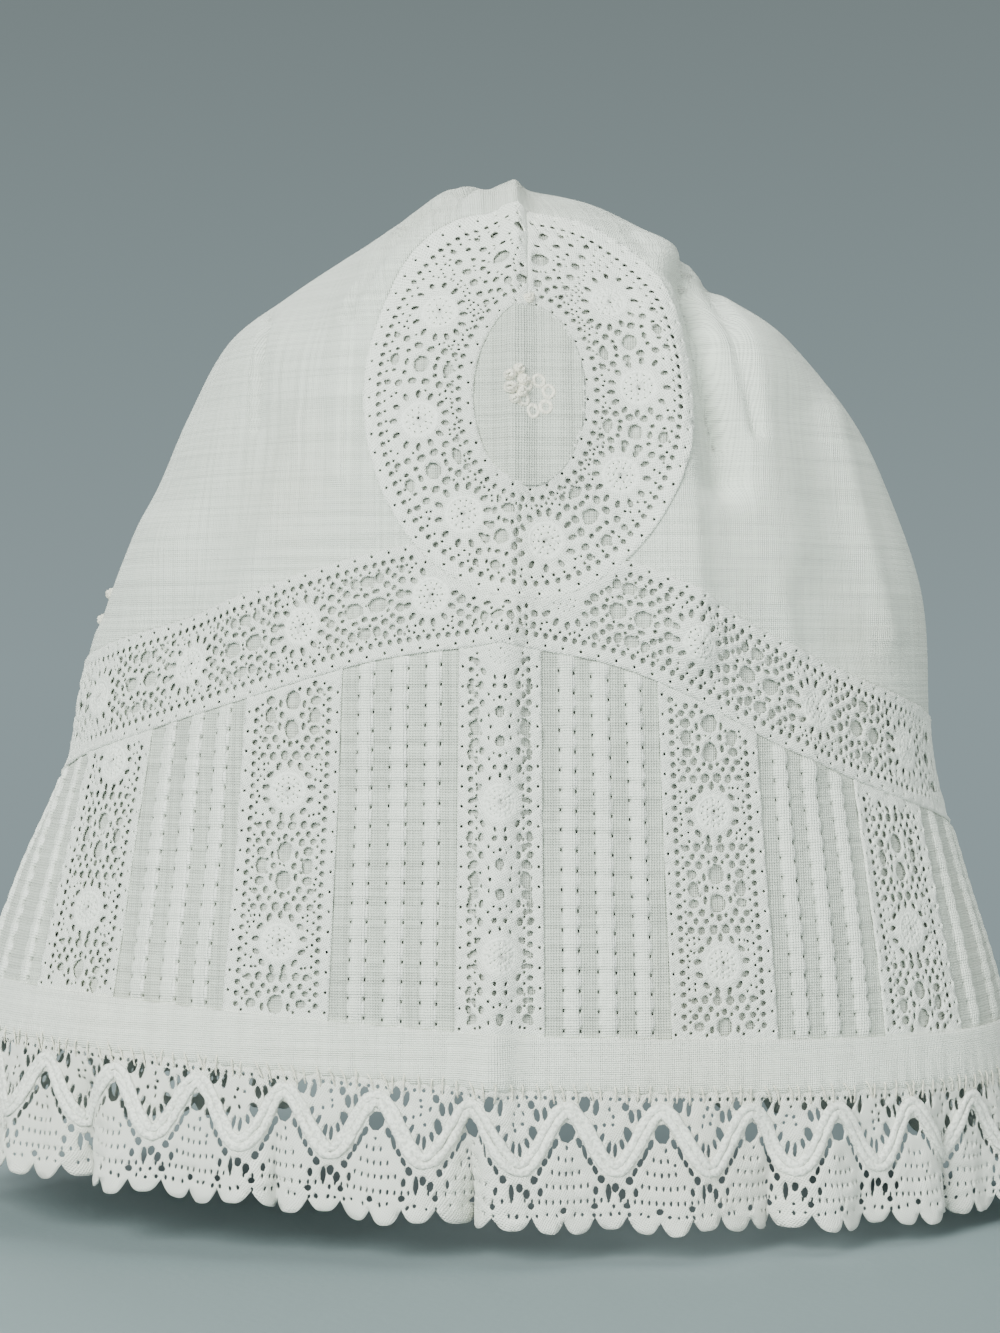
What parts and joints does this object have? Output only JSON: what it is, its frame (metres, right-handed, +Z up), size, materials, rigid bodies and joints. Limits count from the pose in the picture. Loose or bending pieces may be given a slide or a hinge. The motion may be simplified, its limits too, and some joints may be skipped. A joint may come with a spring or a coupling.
{
  "type": "baby bonnet",
  "caption": "Bell-shaped white cotton lawn baby bonnet with a lace ring on the crown, a lace band, tucked brim panels with lace strips, a hem band and a gathered lace frill.",
  "frame": {"origin": "inside of the crown's top, where a head bears on the lining", "axes": "+Z up towards the crown, -Y towards the front middle of the frilled face edge, +X towards the side on the right of a viewer who looks along +Y"},
  "size_m": [0.1489, 0.0862, 0.137],
  "materials": {
    "lawn": "matte plain weave cotton",
    "sheer_lawn": "matte sheer cotton lawn with cabled tucks",
    "lining": "matte plain weave cotton lining",
    "insertion_lace": "matte cotton bobbin lace insertion",
    "edging_lace": "matte cotton lace edging",
    "thread": "soft cotton embroidery thread"
  },
  "bodies": {
    "root": {"crown_roundel": "sheer_lawn", "roundel_flower": "thread", "crown_ring_lace": "insertion_lace", "ring_knot": "thread", "crown_cloth": "lawn", "side_knot_upper": "thread", "side_knot_lower": "thread", "band_lace": "insertion_lace", "centre_lace_strip": "insertion_lace", "inner_panel_left": "sheer_lawn", "inner_panel_right": "sheer_lawn", "inner_lace_left": "insertion_lace", "inner_lace_right": "insertion_lace", "outer_panel_left": "sheer_lawn", "outer_panel_right": "sheer_lawn", "outer_lace_left": "insertion_lace", "outer_lace_right": "insertion_lace", "side_panel_left": "sheer_lawn", "side_panel_right": "sheer_lawn", "back_panel_left": "lawn", "back_panel_right": "lawn", "hem_band": "lawn", "neck_hem": "lawn", "lining_crown": "lining", "lining_brim": "lining", "lace_frill": "edging_lace"}
  },
  "joints": []
}
